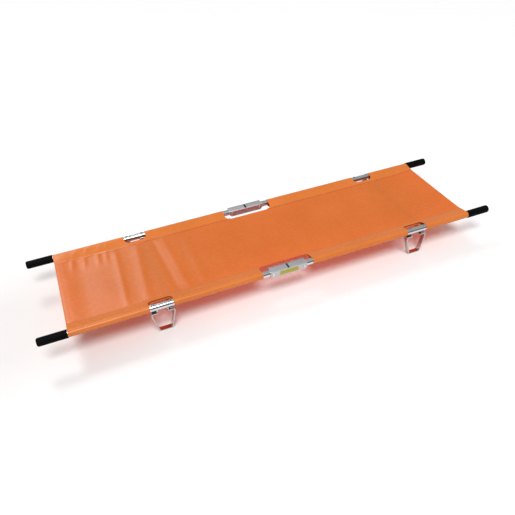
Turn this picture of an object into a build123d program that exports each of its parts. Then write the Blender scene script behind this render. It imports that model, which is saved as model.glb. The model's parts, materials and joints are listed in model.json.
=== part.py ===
from build123d import *
import math
import os

# Folding stretcher: two poles that each hinge in the middle, a fabric bed sleeved over them,
# four bolted feet and two folding spreaders. Millimetres, +X along the poles, front at -Y, +Z up.
# The origin is on the floor, under the middle of the bed.

# Driving dimensions
LENGTH = 2088.0
POLE_SPACING = 508.0
AXIS_HEIGHT = 127.0
TUBE_RADIUS = 14.0
TUBE_WALL = 2.0
FIT = 0.05
SMALL_GAP = 0.1
CUT_OVERRUN = 1.0
BORE_REACH = 30.0

# Fabric: sleeves round the poles, and three sheets between them
FABRIC_END = 926.0
FABRIC_THICKNESS = 1.0
SLEEVE_RADIUS = 14.2
SEAM_INBOARD = 55.0
POCKET_INBOARD = 49.0
POCKET_TIP_RADIUS = 0.3
SEAM_GAP = 0.3
CREASE_GAP = 0.8
HINGE_CUTOUT = 117.0
HINGE_CUTOUT_RADIUS = 22.0
FOOT_CUTOUT = 50.0
FOOT_CUTOUT_INBOARD = 37.0
FOOT_CUTOUT_RADIUS = 18.0
CUTOUT_REACH = 25.0

# Rubber grips on the pole ends
GRIP_RADIUS = 17.5
GRIP_START = 927.0
GRIP_END_WALL = 6.0
GRIP_END_ROUNDING = 8.0
GRIP_MOUTH_ROUNDING = 0.8

# Middle hinges: a channel link with a pin near each end, and a cast nose on each pole half
PIVOT_X = 72.5
PIN_RADIUS = 4.0
PIN_HEAD_RADIUS = 6.5
PIN_HEAD_HEIGHT = 1.8
PIN_HEAD_ROUNDING = 1.2
LINK_END = 85.0
LINK_TOP = 14.0
LINK_BOTTOM = -15.0
LINK_HALF_WIDTH = 19.8
LINK_LOWER_CORNER = (9.0, 11.0)
LINK_UPPER_CORNER = 3.0
LINK_FACE_CHAMFER = 0.9
PLATE_THICKNESS = 4.5
WEB_END = 54.0
WEB_TOP = -11.1
NOSE_HALF_WIDTH = 15.0
NOSE_TIP = 4.0
NOSE_TUBE_START = 84.0
NOSE_BOTTOM = -11.0
NOSE_TOP_CHAMFER = 1.2
SPIGOT_END = 152.0
SPIGOT_BORE = 8.0
RIVET_RADIUS = 2.5
RIVET_X = (130.0, 143.0)
RIVET_TRIM = 5.0
LABEL_SIZE = (85.0, 0.3, 20.0)
LABEL_HEIGHT = 1.0

# Lock in each link: a sprung button, a retaining clip and two rollers
BUTTON_SIZE = (7.0, 24.0)
BUTTON_TOP = 14.6
BUTTON_CAP_BOTTOM = 10.0
BUTTON_CORNER = 2.0
BUTTON_TOP_ROUNDING = 0.8
BLADE_SIZE = (1.7, 20.0)
SEAT_TOP = -1.0
SEAT_BOTTOM = -3.0
SEAT_RADIUS = 3.4
STEM_RADIUS = 1.5
STEM_HOLE_RADIUS = 1.8
STEM_BOTTOM = -17.5
CLIP_RADIUS = 4.0
CLIP_SPAN = (-16.2, -15.2)
SPRING_RADIUS = 2.6
SPRING_WIRE = 0.4
SPRING_PITCH = 2.4
ROLLER_RADIUS = 1.35
ROLLER_X = 2.35
ROLLER_HEIGHT = 4.0
ROLLER_HALF_LENGTH = 17.0
ROLLER_SLOT = (5.4, 3.0)
NOSE_GROOVE_RADIUS = 1.6
NOSE_GROOVE_X = 3.7

# Feet: bent flat bar under each pole half, on two vertical bolts
FOOT_X = {"left": -555.0, "right": 645.0}
FOOT_HALF_TOP = 50.0
FOOT_HALF_BOTTOM = 29.0
FOOT_TAB_INNER = 20.0
FOOT_STRIP = (4.5, 22.0)
FOOT_SHOULDER = 13.0
FOOT_BEND_RADIUS = 7.0
TAB_TOP = -24.0
BOLT_OFFSET = 35.0
BOLT_RADIUS = 3.0
BOLT_HOLE_RADIUS = 3.1
BOLT_HEAD_RADIUS = 5.5
BOLT_HEAD_TOP = 16.5
BOLT_HEAD_DEPTH = 3.0
BOLT_HEAD_ROUNDING = 2.2
BOLT_END = -35.5
NUT_HEIGHT = 5.0
NUT_FLAT_RADIUS = 5.0
SPACER_RADIUS = 10.0
SPACER_TOP = -8.0
SADDLE_REACH = 15.0

# Spreaders: two flat arms between each pair of feet, lapped at a rivet in the middle
ARM_WIDTH = 20.0
ARM_THICKNESS = 3.0
ARM_TOP = {"front": -16.2, "rear": -19.5}
ARM_RIVET_RADIUS = 4.0
ARM_RIVET_HEAD = (7.0, 1.5)
ARM_RIVET_ROUNDING = 1.0

SIDES = ("front", "rear")
ENDS = ("left", "right")
INBOARD = {"front": 1, "rear": -1}
OUTWARD_X = {"left": -1, "right": 1}


def pole_y(side):
    return -INBOARD[side] * POLE_SPACING / 2


def block(x_span, y_span, z_span):
    """A box between three pairs of coordinates, heights counted from the pole axis."""
    size = [abs(b - a) for a, b in (x_span, y_span, z_span)]
    middle = [(a + b) / 2 for a, b in (x_span, y_span, z_span)]
    return Pos(middle[0], middle[1], middle[2] + AXIS_HEIGHT) * Box(*size)


def bar_x(radius, x_span, y, z=0.0):
    length = abs(x_span[1] - x_span[0])
    middle = sum(x_span) / 2
    return Pos(middle, y, z + AXIS_HEIGHT) * Rot(0, 90, 0) * Cylinder(radius, length)


def bar_y(radius, x, y_span, z=0.0):
    length = abs(y_span[1] - y_span[0])
    middle = sum(y_span) / 2
    return Pos(x, middle, z + AXIS_HEIGHT) * Rot(90, 0, 0) * Cylinder(radius, length)


def bar_z(radius, x, y, z_span):
    length = abs(z_span[1] - z_span[0])
    middle = sum(z_span) / 2
    return Pos(x, y, middle + AXIS_HEIGHT) * Cylinder(radius, length)


def side_plate(outline, y_span):
    """Extrude a closed outline of (x, height) points between two y values."""
    face = make_face(Polyline(*outline, close=True))
    plane = Plane(origin=(0, y_span[1], AXIS_HEIGHT), x_dir=(1, 0, 0), z_dir=(0, -1, 0))
    return extrude(plane * face, amount=y_span[1] - y_span[0])


def bolt_places(end):
    return [FOOT_X[end] - BOLT_OFFSET, FOOT_X[end] + BOLT_OFFSET]


def arm_pivot_x(end):
    """Both spreaders hang on the bolt nearer the right end of the stretcher."""
    return FOOT_X[end] + BOLT_OFFSET


# Poles and grips
def make_pole(side, end):
    y = pole_y(side)
    sign = OUTWARD_X[end]
    tube_end = LENGTH / 2 - GRIP_END_WALL
    span = sorted((sign * NOSE_TUBE_START, sign * tube_end))
    across = TUBE_RADIUS + CUT_OVERRUN
    pole = bar_x(TUBE_RADIUS, span, y) - bar_x(TUBE_RADIUS - TUBE_WALL, span, y)
    for x in bolt_places(end):
        pole -= bar_z(BOLT_HOLE_RADIUS, x, y, (-across, across))
    for x in RIVET_X:
        pole -= bar_y(RIVET_RADIUS, sign * x, (y - across, y + across))
    return pole


def make_grip(side, end):
    y = pole_y(side)
    sign = OUTWARD_X[end]
    span = sorted((sign * GRIP_START, sign * LENGTH / 2))
    grip = bar_x(GRIP_RADIUS, span, y)
    outer_edge = grip.edges().filter_by(GeomType.CIRCLE).sort_by(Axis.X)[-1 if sign > 0 else 0]
    grip = fillet(outer_edge, GRIP_END_ROUNDING)
    inner_edge = grip.edges().filter_by(GeomType.CIRCLE).sort_by(Axis.X)[0 if sign > 0 else -1]
    grip = fillet(inner_edge, GRIP_MOUTH_ROUNDING)
    bore = sorted((sign * GRIP_START, sign * (LENGTH / 2 - GRIP_END_WALL)))
    return grip - bar_x(TUBE_RADIUS, bore, y)


# Middle hinges
def nose_outline(sign):
    """The nose's side view: a flat tip above the pivot, an arc about the pivot below it."""
    reach = PIVOT_X - NOSE_TIP
    low_tip = PIVOT_X - math.sqrt(reach**2 - NOSE_BOTTOM**2)
    half_angle = math.asin(-NOSE_BOTTOM / reach) / 2
    arc_middle = (PIVOT_X - reach * math.cos(half_angle), -reach * math.sin(half_angle))
    corners = [
        (NOSE_TIP, 0.0),
        (NOSE_TIP, LINK_TOP),
        (NOSE_TUBE_START, LINK_TOP),
        (NOSE_TUBE_START, NOSE_BOTTOM),
        (low_tip, NOSE_BOTTOM),
    ]
    flip = [(sign * x, z) for x, z in corners]
    tip_arc = ThreePointArc(flip[-1], (sign * arc_middle[0], arc_middle[1]), flip[0])
    return make_face([Line(a, b) for a, b in zip(flip, flip[1:])] + [tip_arc])


def make_nose(side, end):
    y = pole_y(side)
    sign = OUTWARD_X[end]
    far_face = y + NOSE_HALF_WIDTH
    plane = Plane(origin=(0, far_face, AXIS_HEIGHT), x_dir=(1, 0, 0), z_dir=(0, -1, 0))
    nose = extrude(plane * nose_outline(sign), amount=2 * NOSE_HALF_WIDTH)
    top_edges = nose.faces().sort_by(Axis.Z)[-1].edges().filter_by(Axis.X)
    nose = chamfer(top_edges, NOSE_TOP_CHAMFER)
    inside = TUBE_RADIUS - TUBE_WALL
    spigot = sorted((sign * NOSE_TUBE_START, sign * SPIGOT_END))
    nose += bar_x(inside, spigot, y)
    nose -= bar_x(SPIGOT_BORE, spigot, y)
    across = (y - BORE_REACH, y + BORE_REACH)
    nose -= bar_y(PIN_RADIUS + FIT, sign * PIVOT_X, across)
    nose -= bar_y(NOSE_GROOVE_RADIUS, sign * NOSE_GROOVE_X, across, ROLLER_HEIGHT)
    for x in RIVET_X:
        nose -= bar_y(RIVET_RADIUS, sign * x, across)
    return nose


def make_nose_rivets(side, end):
    """Two flush rivets that hold the tube on the nose's spigot."""
    y = pole_y(side)
    sign = OUTWARD_X[end]
    rivets = []
    for x in RIVET_X:
        shank = bar_y(RIVET_RADIUS, sign * x, (y - TUBE_RADIUS, y + TUBE_RADIUS))
        around = bar_x(TUBE_RADIUS, (sign * x - RIVET_TRIM, sign * x + RIVET_TRIM), y)
        rivets.append(shank & around)
    return Compound(children=rivets)


def make_link(side):
    y = pole_y(side)
    chamfer_x, chamfer_z = LINK_LOWER_CORNER
    corner = LINK_UPPER_CORNER
    outline = [
        (-LINK_END, LINK_BOTTOM + chamfer_z),
        (-LINK_END, LINK_TOP - corner),
        (-LINK_END + corner, LINK_TOP),
        (LINK_END - corner, LINK_TOP),
        (LINK_END, LINK_TOP - corner),
        (LINK_END, LINK_BOTTOM + chamfer_z),
        (LINK_END - chamfer_x, LINK_BOTTOM),
        (-LINK_END + chamfer_x, LINK_BOTTOM),
    ]
    inner = LINK_HALF_WIDTH - PLATE_THICKNESS
    near = side_plate(outline, (y - LINK_HALF_WIDTH, y - inner))
    far = side_plate(outline, (y + inner, y + LINK_HALF_WIDTH))
    near = chamfer(near.faces().sort_by(Axis.Y)[0].edges(), LINK_FACE_CHAMFER)
    far = chamfer(far.faces().sort_by(Axis.Y)[-1].edges(), LINK_FACE_CHAMFER)
    web = block((-WEB_END, WEB_END), (y - inner, y + inner), (LINK_BOTTOM, WEB_TOP))
    link = near + far + web
    for x in (-PIVOT_X, PIVOT_X):
        link -= bar_y(PIN_RADIUS, x, (y - BORE_REACH, y + BORE_REACH))
    slot_x, slot_height = ROLLER_SLOT
    slot_z = (ROLLER_HEIGHT - slot_height / 2, ROLLER_HEIGHT + slot_height / 2)
    slot_y = (y - ROLLER_HALF_LENGTH - SEAM_GAP, y + ROLLER_HALF_LENGTH + SEAM_GAP)
    link -= block((-slot_x, slot_x), slot_y, slot_z)
    link -= bar_z(STEM_HOLE_RADIUS, 0, y, (LINK_BOTTOM - CUT_OVERRUN, WEB_TOP + CUT_OVERRUN))
    return link


def make_link_pins(side):
    """Two headed pins through both plates of a link."""
    y = pole_y(side)
    pins = []
    for x in (-PIVOT_X, PIVOT_X):
        pin = bar_y(PIN_RADIUS, x, (y - LINK_HALF_WIDTH, y + LINK_HALF_WIDTH))
        for way in (-1, 1):
            face = y + way * LINK_HALF_WIDTH
            head = bar_y(PIN_HEAD_RADIUS, x, sorted((face, face + way * PIN_HEAD_HEIGHT)))
            rim = head.edges().filter_by(GeomType.CIRCLE).sort_by(Axis.Y)[-1 if way > 0 else 0]
            pin += fillet(rim, PIN_HEAD_ROUNDING)
        pins.append(pin)
    return Compound(children=pins)


def make_label(side):
    length, thickness, height = LABEL_SIZE
    face = pole_y(side) - INBOARD[side] * LINK_HALF_WIDTH
    y_span = sorted((face, face - INBOARD[side] * thickness))
    z_span = (LABEL_HEIGHT - height / 2, LABEL_HEIGHT + height / 2)
    return block((-length / 2, length / 2), y_span, z_span)


# The lock
def make_button(side):
    y = pole_y(side)
    half_x, half_y = BUTTON_SIZE[0] / 2, BUTTON_SIZE[1] / 2
    cap = block((-half_x, half_x), (y - half_y, y + half_y), (BUTTON_CAP_BOTTOM, BUTTON_TOP))
    cap = fillet(cap.edges().filter_by(Axis.Z), BUTTON_CORNER)
    cap = fillet(cap.faces().sort_by(Axis.Z)[-1].edges(), BUTTON_TOP_ROUNDING)
    blade_x, blade_y = BLADE_SIZE[0] / 2, BLADE_SIZE[1] / 2
    blade = block((-blade_x, blade_x), (y - blade_y, y + blade_y), (SEAT_TOP, BUTTON_CAP_BOTTOM))
    seat = bar_z(SEAT_RADIUS, 0, y, (SEAT_BOTTOM, SEAT_TOP))
    stem = bar_z(STEM_RADIUS, 0, y, (STEM_BOTTOM, SEAT_BOTTOM))
    return cap + blade + seat + stem


def make_button_clip(side):
    y = pole_y(side)
    return bar_z(CLIP_RADIUS, 0, y, CLIP_SPAN) - bar_z(STEM_RADIUS, 0, y, CLIP_SPAN)


def make_button_spring(side):
    height = SEAT_BOTTOM - WEB_TOP - 2 * SPRING_WIRE - SMALL_GAP
    path = Helix(pitch=SPRING_PITCH, height=height, radius=SPRING_RADIUS)
    wire = Plane(origin=path @ 0, z_dir=path % 0) * Circle(SPRING_WIRE)
    start = WEB_TOP + SPRING_WIRE + SMALL_GAP / 2 + AXIS_HEIGHT
    return Pos(0, pole_y(side), start) * sweep(wire, path=path)


def make_lock_rollers(side):
    y = pole_y(side)
    span = (y - ROLLER_HALF_LENGTH, y + ROLLER_HALF_LENGTH)
    rollers = [bar_y(ROLLER_RADIUS, x, span, ROLLER_HEIGHT) for x in (-ROLLER_X, ROLLER_X)]
    return Compound(children=rollers)


# Feet
def make_foot(side, end):
    y = pole_y(side)
    thickness, width = FOOT_STRIP
    half = thickness / 2
    tab = TAB_TOP - half
    floor = half - AXIS_HEIGHT
    outer = FOOT_HALF_TOP - half
    right_half = [
        (FOOT_HALF_BOTTOM - half, floor),
        (outer, tab - FOOT_SHOULDER),
        (outer, tab),
        (FOOT_TAB_INNER, tab),
    ]
    left_half = [(-x, z) for x, z in reversed(right_half)]
    path = FilletPolyline(*(left_half + right_half), radius=FOOT_BEND_RADIUS)
    strip = trace(path.edges(), line_width=thickness)
    plane = Plane(
        origin=(FOOT_X[end], y + width / 2, AXIS_HEIGHT), x_dir=(1, 0, 0), z_dir=(0, -1, 0)
    )
    foot = extrude(plane * strip, amount=width)
    for x in bolt_places(end):
        foot -= bar_z(BOLT_HOLE_RADIUS, x, y, (TAB_TOP - thickness - CUT_OVERRUN, TAB_TOP + CUT_OVERRUN))
    return foot


def make_foot_bolts(side, end):
    """Dome-headed bolts, their heads bedded on the round top of the pole."""
    y = pole_y(side)
    bolts = []
    for x in bolt_places(end):
        head = bar_z(BOLT_HEAD_RADIUS, x, y, (TUBE_RADIUS - BOLT_HEAD_DEPTH, BOLT_HEAD_TOP))
        rim = head.edges().filter_by(GeomType.CIRCLE).sort_by(Axis.Z)[-1]
        head = fillet(rim, BOLT_HEAD_ROUNDING)
        head -= bar_x(TUBE_RADIUS, (x - SADDLE_REACH, x + SADDLE_REACH), y)
        bolts.append(head + bar_z(BOLT_RADIUS, x, y, (BOLT_END, TUBE_RADIUS)))
    return Compound(children=bolts)


def make_foot_nuts(side, end):
    y = pole_y(side)
    under_tab = TAB_TOP - FOOT_STRIP[0]
    hexagon = RegularPolygon(NUT_FLAT_RADIUS, 6, major_radius=False)
    nuts = []
    for x in bolt_places(end):
        nut = extrude(hexagon, amount=NUT_HEIGHT)
        nut = Pos(x, y, under_tab - NUT_HEIGHT + AXIS_HEIGHT) * nut
        nuts.append(nut - bar_z(BOLT_RADIUS, x, y, (BOLT_END, under_tab)))
    return Compound(children=nuts)


def make_spacers(side, end):
    """Saddle spacers between pole and foot, with room for the spreader's eye on one bolt."""
    y = pole_y(side)
    plain_x, arm_x = bolt_places(end)
    arm_top = ARM_TOP[side] + SMALL_GAP
    arm_bottom = ARM_TOP[side] - ARM_THICKNESS - SMALL_GAP
    spans = [(plain_x, TAB_TOP, SPACER_TOP), (arm_x, arm_top, SPACER_TOP), (arm_x, TAB_TOP, arm_bottom)]
    spacers = []
    for x, low, high in spans:
        spacer = bar_z(SPACER_RADIUS, x, y, (low, high))
        spacer -= bar_z(BOLT_HOLE_RADIUS, x, y, (low, high))
        spacers.append(spacer - bar_x(TUBE_RADIUS, (x - SADDLE_REACH, x + SADDLE_REACH), y))
    return Compound(children=spacers)


# Spreaders
def make_arm(side, end):
    """A flat bar from a foot's bolt to the middle of the stretcher, round at both ends."""
    x = arm_pivot_x(end)
    y = pole_y(side)
    z_span = (ARM_TOP[side] - ARM_THICKNESS, ARM_TOP[side])
    half = ARM_WIDTH / 2
    arm = block((x - half, x + half), sorted((y, 0)), z_span)
    arm += bar_z(half, x, y, z_span) + bar_z(half, x, 0, z_span)
    arm -= bar_z(BOLT_RADIUS + FIT, x, y, z_span)
    middle_hole = ARM_RIVET_RADIUS if side == "front" else ARM_RIVET_RADIUS + FIT
    return arm - bar_z(middle_hole, x, 0, z_span)


def make_arm_rivet(end):
    x = arm_pivot_x(end)
    head_radius, head_height = ARM_RIVET_HEAD
    top = ARM_TOP["front"]
    bottom = ARM_TOP["rear"] - ARM_THICKNESS - SMALL_GAP
    rivet = bar_z(ARM_RIVET_RADIUS, x, 0, (bottom, top))
    upper = bar_z(head_radius, x, 0, (top, top + head_height))
    lower = bar_z(head_radius, x, 0, (bottom - head_height, bottom))
    upper = fillet(upper.edges().filter_by(GeomType.CIRCLE).sort_by(Axis.Z)[-1], ARM_RIVET_ROUNDING)
    lower = fillet(lower.edges().filter_by(GeomType.CIRCLE).sort_by(Axis.Z)[0], ARM_RIVET_ROUNDING)
    return rivet + upper + lower


# Fabric
def sleeve_section(side, pole_radius, seam_radius, seam_inboard):
    """A round pole pocket that narrows towards the seam on its inboard side."""
    circles = Circle(pole_radius).edges()
    circles += (Pos(INBOARD[side] * (seam_inboard - seam_radius), 0) * Circle(seam_radius)).edges()
    return make_hull(circles)


def cutout(side, x_span, inboard, radius):
    """The space that an opening in the fabric takes, round at its inner corners."""
    y = pole_y(side)
    way = INBOARD[side]
    y_span = sorted((y - way * CUTOUT_REACH, y + way * inboard))
    space = block(x_span, y_span, (-CUTOUT_REACH, CUTOUT_REACH))
    inner = space.edges().filter_by(Axis.Z).sort_by(Axis.Y)
    return fillet(inner[-2:] if way > 0 else inner[:2], radius)


def make_sleeve(side, end):
    sign = OUTWARD_X[end]
    start = HINGE_CUTOUT - HINGE_CUTOUT_RADIUS
    x_low = min(sign * start, sign * FABRIC_END)
    plane = Plane(origin=(x_low, pole_y(side), AXIS_HEIGHT), x_dir=(0, 1, 0), z_dir=(1, 0, 0))
    outer_radius = SLEEVE_RADIUS + FABRIC_THICKNESS
    outer = sleeve_section(side, outer_radius, FABRIC_THICKNESS, SEAM_INBOARD)
    inner = sleeve_section(side, SLEEVE_RADIUS, POCKET_TIP_RADIUS, POCKET_INBOARD)
    sleeve = extrude(plane * (outer - inner), amount=FABRIC_END - start)
    hinge_span = (-HINGE_CUTOUT, HINGE_CUTOUT)
    foot_span = (FOOT_X[end] - FOOT_CUTOUT, FOOT_X[end] + FOOT_CUTOUT)
    sleeve -= cutout(side, hinge_span, SEAM_INBOARD, HINGE_CUTOUT_RADIUS)
    sleeve -= cutout(side, foot_span, FOOT_CUTOUT_INBOARD, FOOT_CUTOUT_RADIUS)
    return sleeve


def make_sheet(x_span):
    half_width = POLE_SPACING / 2 - SEAM_INBOARD - SEAM_GAP
    half = FABRIC_THICKNESS / 2
    return block(x_span, (-half_width, half_width), (-half, half))


def make_all():
    nodes = {}
    for side in SIDES:
        for end in ENDS:
            name = f"{side}_{end}"
            nodes[f"{name}_pole"] = make_pole(side, end)
            nodes[f"{name}_grip"] = make_grip(side, end)
            nodes[f"{name}_hinge_nose"] = make_nose(side, end)
            nodes[f"{name}_nose_rivets"] = make_nose_rivets(side, end)
            nodes[f"{name}_foot"] = make_foot(side, end)
            nodes[f"{name}_foot_bolts"] = make_foot_bolts(side, end)
            nodes[f"{name}_foot_nuts"] = make_foot_nuts(side, end)
            nodes[f"{name}_foot_spacers"] = make_spacers(side, end)
            nodes[f"{name}_fabric_sleeve"] = make_sleeve(side, end)
            nodes[f"{end}_{side}_spreader_arm"] = make_arm(side, end)
        nodes[f"{side}_hinge_link"] = make_link(side)
        nodes[f"{side}_hinge_pins"] = make_link_pins(side)
        nodes[f"{side}_hinge_label"] = make_label(side)
        nodes[f"{side}_lock_button"] = make_button(side)
        nodes[f"{side}_lock_clip"] = make_button_clip(side)
        nodes[f"{side}_lock_spring"] = make_button_spring(side)
        nodes[f"{side}_lock_rollers"] = make_lock_rollers(side)
    for end in ENDS:
        nodes[f"{end}_spreader_rivet"] = make_arm_rivet(end)
    crease = PIVOT_X + CREASE_GAP
    nodes["left_fabric_sheet"] = make_sheet((-FABRIC_END, -crease))
    nodes["middle_fabric_sheet"] = make_sheet((-PIVOT_X + CREASE_GAP, PIVOT_X - CREASE_GAP))
    nodes["right_fabric_sheet"] = make_sheet((crease, FABRIC_END))
    return nodes


os.makedirs("parts", exist_ok=True)
for node_name, node_shape in make_all().items():
    export_step(node_shape, f"parts/{node_name}.step")
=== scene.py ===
import json
import math

import bmesh
import bpy
from mathutils import Matrix, Vector, noise


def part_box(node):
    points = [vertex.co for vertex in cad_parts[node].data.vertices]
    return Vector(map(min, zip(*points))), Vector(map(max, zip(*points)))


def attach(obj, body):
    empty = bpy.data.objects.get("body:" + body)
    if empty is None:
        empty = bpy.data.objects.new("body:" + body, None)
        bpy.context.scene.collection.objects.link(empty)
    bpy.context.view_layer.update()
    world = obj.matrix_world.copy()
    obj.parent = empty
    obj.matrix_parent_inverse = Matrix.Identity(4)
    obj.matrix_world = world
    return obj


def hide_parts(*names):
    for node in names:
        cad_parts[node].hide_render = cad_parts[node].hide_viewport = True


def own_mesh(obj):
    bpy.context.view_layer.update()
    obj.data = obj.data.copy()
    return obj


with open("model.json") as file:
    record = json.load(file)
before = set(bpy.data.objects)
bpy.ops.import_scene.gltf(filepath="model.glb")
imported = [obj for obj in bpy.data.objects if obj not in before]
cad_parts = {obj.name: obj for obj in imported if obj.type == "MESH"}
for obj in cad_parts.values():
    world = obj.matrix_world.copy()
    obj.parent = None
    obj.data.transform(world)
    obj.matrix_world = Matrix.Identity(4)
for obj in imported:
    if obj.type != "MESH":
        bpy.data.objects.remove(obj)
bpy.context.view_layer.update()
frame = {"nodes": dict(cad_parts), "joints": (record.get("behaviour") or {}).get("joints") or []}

SIDES = ("front", "rear")
ENDS = ("left", "right")
INBOARD = {"front": 1, "rear": -1}
OUTWARD_X = {"left": -1, "right": 1}
MM = 0.001

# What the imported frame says
axis_z = sum(corner.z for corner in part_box("front_left_grip")) / 2
pole_y = {side: sum(c.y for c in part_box(f"{side}_left_grip")) / 2 for side in SIDES}
foot_x = {end: sum(c.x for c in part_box(f"front_{end}_foot")) / 2 for end in ENDS}
fabric_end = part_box("right_fabric_sheet")[1].x
seam_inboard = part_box("front_left_fabric_sleeve")[1].y - pole_y["front"]
seam_y = -pole_y["front"] - seam_inboard
hinge_joint = next(j for j in frame["joints"] if j["name"] == "front_right_hinge")
crease_x = abs(hinge_joint["pos_m"][0])
sleeve_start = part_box("front_right_fabric_sleeve")[0].x

# Sizes that the frame doesn't say
CLOTH = 0.8 * MM
SLEEVE_RADIUS = 15.2 * MM
HINGE_CUTOUT_RADIUS = 22 * MM
FOOT_CUTOUT = 50 * MM
FOOT_CUTOUT_INBOARD = 37 * MM
FOOT_CUTOUT_RADIUS = 18 * MM
RIDGE_SIDES = 10
MESH_PITCH = 6 * MM
SEAM_PITCH = 5 * MM
WRAP_PITCH = 2.6 * MM
SHARP_ANGLE = math.radians(40)


# ---------------------------------------------------------------- materials
WEAVE_SCALE = 260
WEAVE_WANDER = 0.6
RED_THROUGH = (0.95, 0.05, 0.02, 1)
METAL_GRAIN = 0.00002


class Look:
    """A node material with one Principled shader, built a node at a time."""

    def __init__(self, name, **values):
        self.material = bpy.data.materials.new(name)
        self.material.use_nodes = True
        self.tree = self.material.node_tree
        self.shader = self.tree.nodes["Principled BSDF"]
        for key, value in values.items():
            self.shader.inputs[key.replace("_", " ")].default_value = value
        self.coordinates = self.tree.nodes.new("ShaderNodeTexCoord").outputs["Object"]

    def node(self, kind, inputs=None, **settings):
        made = self.tree.nodes.new("ShaderNode" + kind)
        for key, value in settings.items():
            setattr(made, key, value)
        for key, value in (inputs or {}).items():
            socket = made.inputs[key]
            if isinstance(value, bpy.types.NodeSocket):
                self.tree.links.new(value, socket)
            else:
                socket.default_value = value
        return made

    def stretched(self, scale):
        return self.node("Mapping", {"Vector": self.coordinates, "Scale": scale}).outputs[0]

    def noise(self, scale, detail=3.0, stretch=(1, 1, 1), roughness=0.5):
        inputs = {
            "Vector": self.stretched(stretch),
            "Scale": scale,
            "Detail": detail,
            "Roughness": roughness,
        }
        return self.node("TexNoise", inputs).outputs["Fac"]

    def wave(self, scale, axis, distortion=0.0, detail=0.0):
        inputs = {
            "Vector": self.coordinates,
            "Scale": scale,
            "Distortion": distortion,
            "Detail": detail,
        }
        return self.node("TexWave", inputs, bands_direction=axis).outputs["Fac"]

    def ramp(self, value, low, high, start=0.0, end=1.0):
        inputs = {"Value": value, "From Min": start, "From Max": end, "To Min": low, "To Max": high}
        return self.node("MapRange", inputs).outputs[0]

    def math(self, operation, a, b):
        return self.node("Math", {0: a, 1: b}, operation=operation).outputs[0]

    def colours(self, value, dark, light, start=0.0, end=1.0):
        made = self.node("ValToRGB", {"Fac": value})
        ramp = made.color_ramp
        ramp.elements[0].position, ramp.elements[0].color = start, (*dark, 1)
        ramp.elements[1].position, ramp.elements[1].color = end, (*light, 1)
        return made.outputs[0]

    def mixed(self, factor, a, b, blend="MIX"):
        inputs = {0: factor, 6: a, 7: b}
        return self.node("Mix", inputs, data_type="RGBA", blend_type=blend).outputs[2]

    def feed(self, socket, value):
        self.tree.links.new(value, self.shader.inputs[socket])

    def bump(self, *layers):
        """Each layer is (height, strength, distance)."""
        normal = None
        for height, strength, distance in layers:
            inputs = {"Height": height, "Strength": strength, "Distance": distance}
            if normal:
                inputs["Normal"] = normal
            normal = self.node("Bump", inputs).outputs[0]
        self.feed("Normal", normal)


def metal(name, dark, light, roughness, streaks, scratch):
    """Metal with streaks along the way it was drawn or brushed, handling marks and fine scratches."""
    look = Look(name, Metallic=1.0)
    streak = look.noise(14, 4, streaks, 0.6)
    cloud = look.noise(22, 3)
    marks = look.noise(160, 2, (1, 3, 3), 0.7)
    tone = look.math("ADD", look.ramp(streak, 0, 0.6), look.ramp(cloud, 0, 0.4))
    look.feed("Base Color", look.colours(tone, dark, light, 0.2, 0.8))
    low, high = roughness
    worn = look.math("ADD", look.ramp(streak, 0, 0.7), look.ramp(marks, 0, 0.3))
    look.feed("Roughness", look.ramp(worn, low, high, 0.25, 0.75))
    look.bump((streak, scratch, METAL_GRAIN), (marks, scratch * 0.6, METAL_GRAIN))
    return look.material


def moulded(name, dark, light, roughness, grain_scale, grain_depth, shine):
    """Moulded rubber or plastic with a fine spark-eroded grain and slight scuffing."""
    look = Look(name, Specular_IOR_Level=shine)
    scuff = look.noise(35, 5, (1, 1, 1), 0.65)
    look.feed("Base Color", look.colours(scuff, dark, light, 0.35, 0.75))
    look.feed("Roughness", look.ramp(scuff, roughness[0], roughness[1], 0.3, 0.7))
    grain = look.noise(grain_scale, 2)
    look.bump((grain, 0.5, grain_depth), (scuff, 0.15, grain_depth))
    return look.material


def fabric(name, dark, light, glow, shine):
    """PVC coated polyester: a coated skin with the woven scrim showing through, and a glow from behind."""
    look = Look(name, Specular_IOR_Level=shine)
    patches = look.noise(6, 4, (1, 1, 1), 0.55)
    handled = look.noise(55, 5, (1, 1, 1), 0.7)
    warp, weft = (look.wave(WEAVE_SCALE, axis, WEAVE_WANDER, 1) for axis in "XY")
    weave = look.math("ADD", look.math("MULTIPLY", warp, 0.5), look.math("MULTIPLY", weft, 0.5))
    base = look.colours(patches, dark, light, 0.3, 0.7)
    threads = look.colours(weave, (0.93, 0.93, 0.93), (1, 1, 1), 0.2, 0.8)
    toned = look.mixed(1.0, base, threads, "MULTIPLY")
    marks = look.colours(handled, (0.95, 0.95, 0.95), (1, 1, 1), 0.3, 0.55)
    look.feed("Base Color", look.mixed(1.0, toned, marks, "MULTIPLY"))
    look.feed("Roughness", look.ramp(handled, 0.23, 0.30, 0.3, 0.7))
    look.bump((weave, 0.25, 0.00010), (handled, 0.2, 0.00012))
    through = look.node("BsdfTranslucent", {"Color": RED_THROUGH})
    both = look.node("MixShader", {0: glow})
    look.tree.links.new(look.shader.outputs[0], both.inputs[1])
    look.tree.links.new(through.outputs[0], both.inputs[2])
    look.tree.links.new(both.outputs[0], look.tree.nodes["Material Output"].inputs["Surface"])
    return look.material


def seam_vinyl():
    look = Look("seam_vinyl", Specular_IOR_Level=0.4, Coat_Weight=0.6, Coat_IOR=2.0, Coat_Roughness=0.1)
    tone = look.noise(60, 4)
    look.feed("Base Color", look.colours(tone, (0.55, 0.105, 0.024), (0.64, 0.135, 0.034), 0.3, 0.7))
    look.feed("Roughness", look.ramp(tone, 0.16, 0.30, 0.3, 0.7))
    look.bump((look.noise(900, 2), 0.3, 0.00004))
    return look.material


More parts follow.
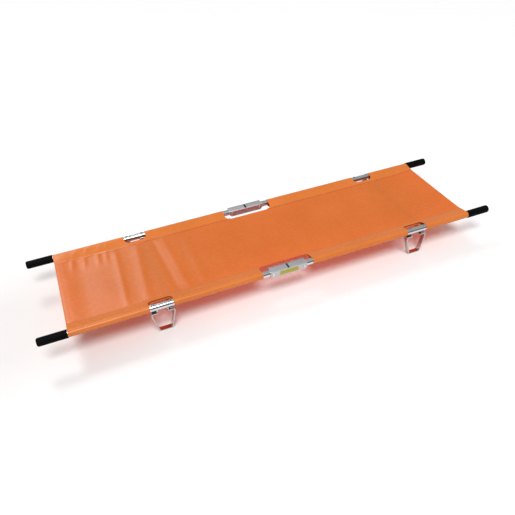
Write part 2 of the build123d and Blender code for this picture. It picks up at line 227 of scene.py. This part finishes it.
def label():
    """A plain coloured film, slightly rubbed, with nothing printed on it."""
    look = Look("label_film", Coat_Weight=0.25)
    rubbed = look.noise(70, 5, (1, 1, 1), 0.7)
    look.feed("Base Color", look.colours(rubbed, (0.35, 0.32, 0.008), (0.42, 0.385, 0.014), 0.35, 0.7))
    look.feed("Roughness", look.ramp(rubbed, 0.35, 0.55))
    look.bump((look.noise(500, 2), 0.2, 0.00003))
    return look.material


# Name: (dark, light, roughness, stretch of the streaks, scratch strength)
METALS = {
    "pole_tube": ((0.64, 0.64, 0.66), (0.80, 0.80, 0.81), (0.10, 0.22), (3, 120, 120), 0.25),
    "hinge_casting": ((0.49, 0.48, 0.50), (0.63, 0.62, 0.64), (0.34, 0.5), (5, 90, 60), 0.5),
    "rivet_steel": ((0.62, 0.62, 0.62), (0.78, 0.78, 0.77), (0.24, 0.4), (30, 30, 30), 0.25),
    "foot_bar": ((0.48, 0.46, 0.45), (0.68, 0.66, 0.65), (0.12, 0.26), (6, 120, 6), 0.25),
    "bolt_steel": ((0.22, 0.22, 0.23), (0.38, 0.38, 0.38), (0.25, 0.4), (40, 40, 40), 0.25),
    "spreader_bar": ((0.52, 0.53, 0.54), (0.68, 0.69, 0.70), (0.28, 0.44), (60, 5, 60), 0.4),
    "spring_steel": ((0.55, 0.55, 0.55), (0.7, 0.7, 0.7), (0.2, 0.35), (40, 40, 40), 0.25),
}
# Name: (dark, light, roughness, scale of the grain, depth of the grain, shine)
MOULDINGS = {
    "grip_rubber": ((0.002, 0.002, 0.0022), (0.005, 0.005, 0.0052), (0.5, 0.7), 900, 0.0002, 0.04),
    "spacer_nylon": ((0.014, 0.014, 0.015), (0.03, 0.03, 0.03), (0.4, 0.6), 1500, 0.00006, 0.15),
    "button_nylon": ((0.010, 0.010, 0.010), (0.02, 0.02, 0.02), (0.35, 0.5), 1500, 0.00004, 0.15),
}
# Name: (dark, light, share of the light that comes through, shine)
FABRICS = {
    "bed_fabric": ((0.70, 0.208, 0.030), (0.76, 0.236, 0.040), 0.34, 0.44),
    "pocket_fabric": ((0.75, 0.205, 0.034), (0.81, 0.230, 0.046), 0.16, 0.36),
}
looks = {name: metal(name, *values) for name, values in METALS.items()}
looks.update({name: moulded(name, *values) for name, values in MOULDINGS.items()})
looks["bed_fabric"] = fabric("bed_fabric", *FABRICS["bed_fabric"])
looks["label_film"] = label()
pocket_look = fabric("pocket_fabric", *FABRICS["pocket_fabric"])
seam_look = seam_vinyl()


def slot_of(node):
    """The record's slot of a CAD node, which its imported material is named after."""
    return node.data.materials[0].name.split(".")[0]


for cad_node in frame["nodes"].values():
    cad_slot = slot_of(cad_node)
    for index in range(len(cad_node.data.materials)):
        cad_node.data.materials[index] = looks[cad_slot]


# ---------------------------------------------------------------- mesh helpers
def object_from(name, bm, look, smooth=True):
    mesh = bpy.data.meshes.new(name)
    bmesh.ops.recalc_face_normals(bm, faces=bm.faces)
    bm.to_mesh(mesh)
    bm.free()
    made = bpy.data.objects.new(name, mesh)
    bpy.context.scene.collection.objects.link(made)
    mesh.materials.append(look)
    if smooth:
        mesh.polygons.foreach_set("use_smooth", [True] * len(mesh.polygons))
        mesh.set_sharp_from_angle(angle=SHARP_ANGLE)
    return made


def applied(made):
    """Bake an object's modifiers into its mesh."""
    graph = bpy.context.evaluated_depsgraph_get()
    mesh = bpy.data.meshes.new_from_object(made.evaluated_get(graph))
    made.modifiers.clear()
    made.data = mesh
    mesh.polygons.foreach_set("use_smooth", [True] * len(mesh.polygons))
    mesh.set_sharp_from_angle(angle=SHARP_ANGLE)
    return made


def thickened(made, thickness, offset):
    solidify = made.modifiers.new("thickness", "SOLIDIFY")
    solidify.thickness = thickness
    solidify.offset = offset
    solidify.use_even_offset = True
    return applied(made)


def steps(start, end, pitch):
    count = max(1, math.ceil(abs(end - start) / pitch))
    return [start + (end - start) * i / count for i in range(count + 1)]


def grid(us, vs):
    """A flat bmesh grid, u along X and v along Y."""
    bm = bmesh.new()
    rows = [[bm.verts.new((u, v, 0)) for v in vs] for u in us]
    for a, b in zip(rows, rows[1:]):
        for i in range(len(vs) - 1):
            bm.faces.new((a[i], b[i], b[i + 1], a[i + 1]))
    return bm


def flat_area(bm):
    return sum(face.calc_area() for face in bm.faces)


def rounded_rectangle(lo, hi, radius, steps_per_corner=8):
    corners = [(hi[0], hi[1], 0), (lo[0], hi[1], 90), (lo[0], lo[1], 180), (hi[0], lo[1], 270)]
    points = []
    for x, y, start in corners:
        cx = x - math.copysign(radius, x - (lo[0] + hi[0]) / 2)
        cy = y - math.copysign(radius, y - (lo[1] + hi[1]) / 2)
        for i in range(steps_per_corner + 1):
            angle = math.radians(start + 90 * i / steps_per_corner)
            points.append(Vector((cx + radius * math.cos(angle), cy + radius * math.sin(angle), 0)))
    return points


def cut_hole(bm, outline):
    """Cut a convex hole out of a flat mesh, with faces that end on its outline."""
    margin = 4 * MM
    xs, ys = [p.x for p in outline], [p.y for p in outline]
    for a, b in zip(outline, outline[1:] + outline[:1]):
        near = [
            f
            for f in bm.faces
            if min(xs) - margin < f.calc_center_median().x < max(xs) + margin
            and min(ys) - margin < f.calc_center_median().y < max(ys) + margin
        ]
        geometry = near + list({e for f in near for e in f.edges}) + list({v for f in near for v in f.verts})
        along = (b - a).normalized()
        normal = Vector((along.y, -along.x, 0))
        bmesh.ops.bisect_plane(bm, geom=geometry, dist=1e-6, plane_co=a, plane_no=normal)

    def inside(point):
        return all((b - a).cross(point - a).z > 0 for a, b in zip(outline, outline[1:] + outline[:1]))

    gone = [f for f in bm.faces if inside(f.calc_center_median())]
    bmesh.ops.delete(bm, geom=gone, context="FACES")
    bmesh.ops.dissolve_degenerate(bm, dist=2e-5, edges=bm.edges)


def bell(value, centre, width):
    return math.exp(-(((value - centre) / width) ** 2))


def smooth_step(value, start, end):
    t = min(1.0, max(0.0, (value - start) / (end - start)))
    return t * t * (3 - 2 * t)


# ---------------------------------------------------------------- the bed
# Lines across the bed where the fabric has taken a set: (x, lean, height, width, y from, y to)
WAVES = [
    (-0.671, 0.05, 2.1, 0.015, -0.30, 0.30),
    (-0.578, 0.08, 2.0, 0.021, -0.30, 0.30),
    (-0.474, -0.05, -1.4, 0.015, -0.30, 0.30),
    (-0.428, -0.04, 1.3, 0.017, -0.30, 0.30),
    (-0.345, 0.0, 1.1, 0.020, -0.30, 0.11),
]
# Short puckers on the bed and on the flap beside it, which start at the rear seam: (x, height, width)
FLAP_PUCKERS = [(-0.845, 1.8, 0.012), (-0.79, 2.2, 0.011), (-0.735, 2.4, 0.012), (-0.70, 1.6, 0.01)]
PUCKERS = [(-0.850, 2.2, 0.011), (-0.797, 2.6, 0.010), (-0.737, 2.6, 0.012), (-0.700, 1.6, 0.010)]
SAG = 2.6 * MM
END_LIFT = 6 * MM
END_LIFT_REACH = 110 * MM
PUCKER_REACH = 110 * MM
BOUND_EDGE = (0.7 * MM, 4 * MM, 2.4 * MM)
HEM_STEP = (0.5 * MM, 22 * MM, 2.5 * MM)


def end_lift(x):
    """The hem at each end is drawn straight between the poles, and lifts the last of the bed with it."""
    return END_LIFT * smooth_step(abs(x), fabric_end - END_LIFT_REACH, fabric_end)


def bed_height(x, y):
    """How far the fabric lies above the pole axis, with its sag, wrinkles, creases and bound edges."""
    across = 1 - (y / seam_y) ** 2
    z = end_lift(x) - SAG * across * (1 - 0.8 * end_lift(x) / END_LIFT)
    for centre, lean, height, width, low, high in WAVES:
        span = smooth_step(y, low - 0.08, low + 0.02) * (1 - smooth_step(y, high - 0.02, high + 0.08))
        edge = 0.35 + 0.65 * min(1.0, across * 3)
        z += height * MM * bell(x, centre + lean * y, width) * span * edge
    for centre, height, width in PUCKERS:
        reach = smooth_step(y, seam_y - PUCKER_REACH, seam_y - 0.02)
        z += height * MM * bell(x, centre - 0.1 * (seam_y - y), width) * reach
    middle = smooth_step(x, -0.10, -0.05) * (1 - smooth_step(x, 0.09, 0.13))
    z += 0.5 * MM * bell(y, -0.004 - 0.09 * x, 0.004) * middle
    z += 0.35 * MM * bell(x, -0.116, 0.005) * bell(y, -0.08, 0.07)
    height, inset, width = BOUND_EDGE
    z += height * bell(abs(y), seam_y - inset, width) * (1 - smooth_step(abs(x), 0.085, 0.1))
    depth, inset, width = HEM_STEP
    z -= depth * bell(abs(x), fabric_end - inset, width)
    broad = noise.noise(Vector((x * 7, y * 5, 0.3))) * 0.9
    fine = noise.noise(Vector((x * 19, y * 9, 4.1))) * 0.35
    z += (broad + fine) * MM * min(1.0, across * 4)
    return z


def squash_with_bed(made):
    """Give the object a mesh of its own."""
    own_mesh(made)


def bed_panel(name, start, end, body, node):
    rim = [seam_y - d * MM for d in (0, 2, 4, 7, 10, 14)]
    ys = [-y for y in rim] + steps(-rim[-1], rim[-1], MESH_PITCH)[1:-1] + rim[::-1]
    bm = grid(steps(start, end, MESH_PITCH), ys)
    area = flat_area(bm)
    for v in bm.verts:
        v.co.z = axis_z + bed_height(v.co.x, v.co.y)
    made = object_from(name, bm, looks["bed_fabric"])
    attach(made, body)
    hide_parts(node)
    squash_with_bed(made)


# ---------------------------------------------------------------- the pole pockets
tangent_distance = math.hypot(seam_inboard, CLOTH)
tangent_angle = math.acos(SLEEVE_RADIUS / tangent_distance) + math.atan2(CLOTH, seam_inboard)
flap = math.sqrt(tangent_distance**2 - SLEEVE_RADIUS**2)
wrap = SLEEVE_RADIUS * 2 * (math.pi - tangent_angle)
girth = 2 * flap + wrap
# Rows beyond this share of the pocket's length bend to follow the hinge opening's round corner
CUTOUT_EASE = 0.9


def pocket_section(u, lift=0.0):
    """(inboard distance, height, outward normal) at u, from the top of the seam over the pole and back."""
    if flap <= u <= girth - flap:
        angle = tangent_angle + (u - flap) / SLEEVE_RADIUS
        normal = (math.cos(angle), math.sin(angle))
        return SLEEVE_RADIUS * normal[0], SLEEVE_RADIUS * normal[1], normal
    top = u < flap
    share = (u if top else girth - u) / flap
    angle = tangent_angle if top else -tangent_angle
    touch = (SLEEVE_RADIUS * math.cos(angle), SLEEVE_RADIUS * math.sin(angle))
    seam = (seam_inboard, (CLOTH if top else -CLOTH) + lift)
    d = seam[0] + (touch[0] - seam[0]) * share
    h = seam[1] + (touch[1] - seam[1]) * share
    return d, h, (math.cos(angle), math.sin(angle))


def pocket_relief(side, end, u, x):
    """How far the pocket's fabric stands out from its taut shape."""
    free = math.sin(math.pi * min(u, girth - u) / flap) if min(u, girth - u) < flap else 0.0
    seed = 3.0 if side == "front" else 11.0
    out = noise.noise(Vector((x * 16, u * 20, seed))) * 0.9
    out += noise.noise(Vector((x * 45, u * 30, seed))) * 0.25
    if (side, end) == ("rear", "left") and u < flap:
        for centre, height, width in FLAP_PUCKERS:
            out += height * bell(x, centre + 0.25 * u, width)
    around = 0.12 + 0.12 * noise.noise(Vector((x * 30, u * 60, seed + 5)))
    return (free * out + around) * MM


def pocket(side, end):
    sign = OUTWARD_X[end]
    way = INBOARD[side]
    us = [d * MM for d in (0, 1, 2.5, 4.5, 7, 10, 13, 16, 19, 22)]
    us += steps(us[-1], flap, SEAM_PITCH)[1:]
    us += steps(flap, flap + wrap / 2, WRAP_PITCH)[1:]
    us += [girth - u for u in us[-2::-1]]
    length = fabric_end - sleeve_start
    bm = grid(us, steps(sleeve_start, fabric_end, MESH_PITCH))
    for v in bm.verts:
        past_centre = max(0.0, pocket_section(v.co.x)[0] - (seam_inboard - HINGE_CUTOUT_RADIUS))
        back = math.sqrt(max(0.0, HINGE_CUTOUT_RADIUS**2 - past_centre**2))
        share = (fabric_end - v.co.y) / length
        v.co.y += back * max(0.0, (share - CUTOUT_EASE) / (1 - CUTOUT_EASE))
    if sign < 0:
        for v in bm.verts:
            v.co.y = -v.co.y
    hole_u = flap * (seam_inboard - FOOT_CUTOUT_INBOARD) / (seam_inboard - pocket_section(flap)[0])
    lo = (hole_u, foot_x[end] - FOOT_CUTOUT)
    hi = (girth - hole_u, foot_x[end] + FOOT_CUTOUT)
    cut_hole(bm, rounded_rectangle(lo, hi, FOOT_CUTOUT_RADIUS))
    area = flat_area(bm)
    for v in bm.verts:
        u, x = v.co.x, v.co.y
        d, h, normal = pocket_section(u, end_lift(x))
        out = pocket_relief(side, end, u, x)
        v.co = (x, pole_y[side] + way * (d + out * normal[0]), axis_z + h + out * normal[1])
    made = object_from(f"{side}_{end}_pocket", bm, pocket_look)
    made = thickened(made, CLOTH, outward_offset(made))
    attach(made, f"{side}_{end}_half")
    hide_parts(f"{side}_{end}_fabric_sleeve")


def outward_offset(made):
    """Which way Solidify has to go for the thickness to grow towards the pole."""
    best = max(made.data.polygons, key=lambda p: p.center.z)
    return -1.0 if best.normal.z > 0 else 1.0


def ridge(name, centres, half_width, half_height, look):
    """A closed, flattened roll of vinyl or cloth along a line of points."""
    bm = bmesh.new()
    rings = []
    for point, after in zip(centres, centres[1:] + centres[-2:-1]):
        along = after - point
        beside = Vector((-along.y, along.x, 0)).normalized() * (-1 if point is centres[-1] else 1)
        ring = []
        for i in range(RIDGE_SIDES):
            angle = math.tau * i / RIDGE_SIDES
            off = beside * half_width * math.cos(angle) + Vector((0, 0, half_height * math.sin(angle)))
            ring.append(bm.verts.new(point + off))
        rings.append(ring)
    for a, b in zip(rings, rings[1:]):
        for i in range(RIDGE_SIDES):
            j = (i + 1) % RIDGE_SIDES
            bm.faces.new((a[i], a[j], b[j], b[i]))
    bm.faces.new(rings[0])
    bm.faces.new(rings[-1])
    return object_from(name, bm, look)


def bead(side, end):
    """The welded seam line on top of the bed, a flattened ridge that wanders a little."""
    sign = OUTWARD_X[end]
    centres = []
    for x in steps(sign * sleeve_start, sign * (fabric_end - 2 * MM), SEAM_PITCH):
        wander = 0.35 * MM * noise.noise(Vector((x * 12, 0.7, INBOARD[side])))
        lift = 0.15 * MM * noise.noise(Vector((x * 25, 5.2, INBOARD[side])))
        y = pole_y[side] + INBOARD[side] * (seam_inboard - 3 * MM) + wander
        centres.append(Vector((x, y, axis_z + 1.5 * MM + end_lift(x) + lift)))
    made = ridge(f"{side}_{end}_seam_bead", centres, 1.5 * MM, 0.7 * MM, seam_look)
    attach(made, f"{side}_{end}_half")


def hem(end, body):
    """The folded and welded edge across each end of the bed."""
    x = OUTWARD_X[end] * (fabric_end - 1.6 * MM)
    ys = steps(-seam_y, seam_y, SEAM_PITCH)
    centres = [Vector((x, y, axis_z + bed_height(x, y) - 0.4 * MM)) for y in ys]
    made = ridge(f"{end}_end_hem", centres, 1.5 * MM, 1.1 * MM, pocket_look)
    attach(made, body)
    squash_with_bed(made)


for side in SIDES:
    for end in ENDS:
        pocket(side, end)
        bead(side, end)

hem("left", "front_left_half")
hem("right", "front_right_half")
bed_panel("left_bed_panel", -fabric_end, -crease_x, "front_left_half", "left_fabric_sheet")
bed_panel("middle_bed_panel", -crease_x, crease_x, "front_link", "middle_fabric_sheet")
bed_panel("right_bed_panel", crease_x, fabric_end, "front_right_half", "right_fabric_sheet")


# ---------------------------------------------------------------- stage, lights, camera
FLOOR_REACH = 30.0
WORLD_STRENGTH = 0.42
SENSOR_WIDTH = 36.0
LENS = 39.54
CAMERA_AT = Vector((-0.7543, -1.9572, 1.6793))
CAMERA_RIGHT = Vector((0.9258, -0.37533, -0.04488))
CAMERA_FORWARD = Vector((0.26725, 0.73389, -0.62449))


def floor():
    """A pale floor with one faint grey patch of painted shadow in front of the left end."""
    bm = grid([-FLOOR_REACH, FLOOR_REACH], [-FLOOR_REACH, FLOOR_REACH])
    look = Look("floor", Roughness=0.34, Specular_IOR_Level=0.45)
    cloud = look.colours(look.noise(0.8, 2), (0.92, 0.92, 0.92), (0.94, 0.94, 0.94))
    # Painted shadow: a soft round grey darkening of the floor colour, centred beyond the left end, stands in
    # for a broad soft shadow
    place = {"Vector": look.coordinates, "Location": (1.25, 0.0, 0), "Scale": (1.0, 1.2, 1)}
    centred = {"Vector": look.node("Mapping", place).outputs[0]}
    patch = look.node("TexGradient", centred, gradient_type="SPHERICAL").outputs["Fac"]
    painted_shadow = look.colours(patch, (1, 1, 1), (0.76, 0.735, 0.725), 0.0, 0.8)
    look.feed("Base Color", look.mixed(1.0, cloud, painted_shadow, "MULTIPLY"))
    made = object_from("floor", bm, look.material, smooth=False)


def soft_sun(name, strength, width, towards):
    """A distant round light, width degrees across, in the direction given from the object."""
    light = bpy.data.lights.new(name, "SUN")
    light.energy = strength
    light.angle = math.radians(width)
    made = bpy.data.objects.new(name, light)
    bpy.context.scene.collection.objects.link(made)
    made.rotation_euler = Vector(towards).to_track_quat("Z", "Y").to_euler()


def surroundings():
    """An even white studio, a little darker towards the floor."""
    world = bpy.data.worlds.new("studio")
    bpy.context.scene.world = world
    world.use_nodes = True
    tree = world.node_tree
    background = tree.nodes["Background"]
    coordinates = tree.nodes.new("ShaderNodeTexCoord")
    split = tree.nodes.new("ShaderNodeSeparateXYZ")
    tree.links.new(coordinates.outputs["Generated"], split.inputs[0])
    ramp = tree.nodes.new("ShaderNodeValToRGB")
    low, high = ramp.color_ramp.elements
    low.position, low.color = 0.0, (0.8, 0.8, 0.8, 1)
    high.position, high.color = 0.1, (1, 1, 1, 1)
    tree.links.new(split.outputs["Z"], ramp.inputs[0])
    tree.links.new(ramp.outputs[0], background.inputs["Color"])
    background.inputs["Strength"].default_value = WORLD_STRENGTH


def dark_card():
    """A flag behind the camera, which puts the dark line along the bright metal."""
    width, height, away = 9.0, 2.3, 4.2
    bm = bmesh.new()
    corners = [(-width, -away, 0.05), (width, -away, 0.05), (width, -away, height), (-width, -away, height)]
    bm.faces.new([bm.verts.new(corner) for corner in corners])
    look = Look("card", Roughness=0.9, Specular_IOR_Level=0.1)
    felt = look.noise(40, 3)
    look.feed("Base Color", look.colours(felt, (0.03, 0.03, 0.03), (0.05, 0.05, 0.05)))
    made = object_from("dark_card", bm, look.material, smooth=False)
    made.visible_camera = False
    made.visible_shadow = False
    made.visible_diffuse = False


def camera():
    data = bpy.data.cameras.new("camera")
    data.sensor_width = SENSOR_WIDTH
    data.lens = LENS
    made = bpy.data.objects.new("camera", data)
    bpy.context.scene.collection.objects.link(made)
    up = CAMERA_RIGHT.cross(CAMERA_FORWARD).normalized()
    right = CAMERA_FORWARD.cross(up).normalized()
    turn = Matrix((right, up, -CAMERA_FORWARD.normalized())).transposed()
    made.matrix_world = Matrix.Translation(CAMERA_AT) @ turn.to_4x4()
    bpy.context.scene.camera = made


floor()
soft_sun("key", 2.25, 28, (-0.14, -0.48, 1.0))
soft_sun("back", 0.62, 20, (-0.16, 0.92, 0.95))
surroundings()
dark_card()
camera()
bpy.context.scene.view_settings.view_transform = "Standard"
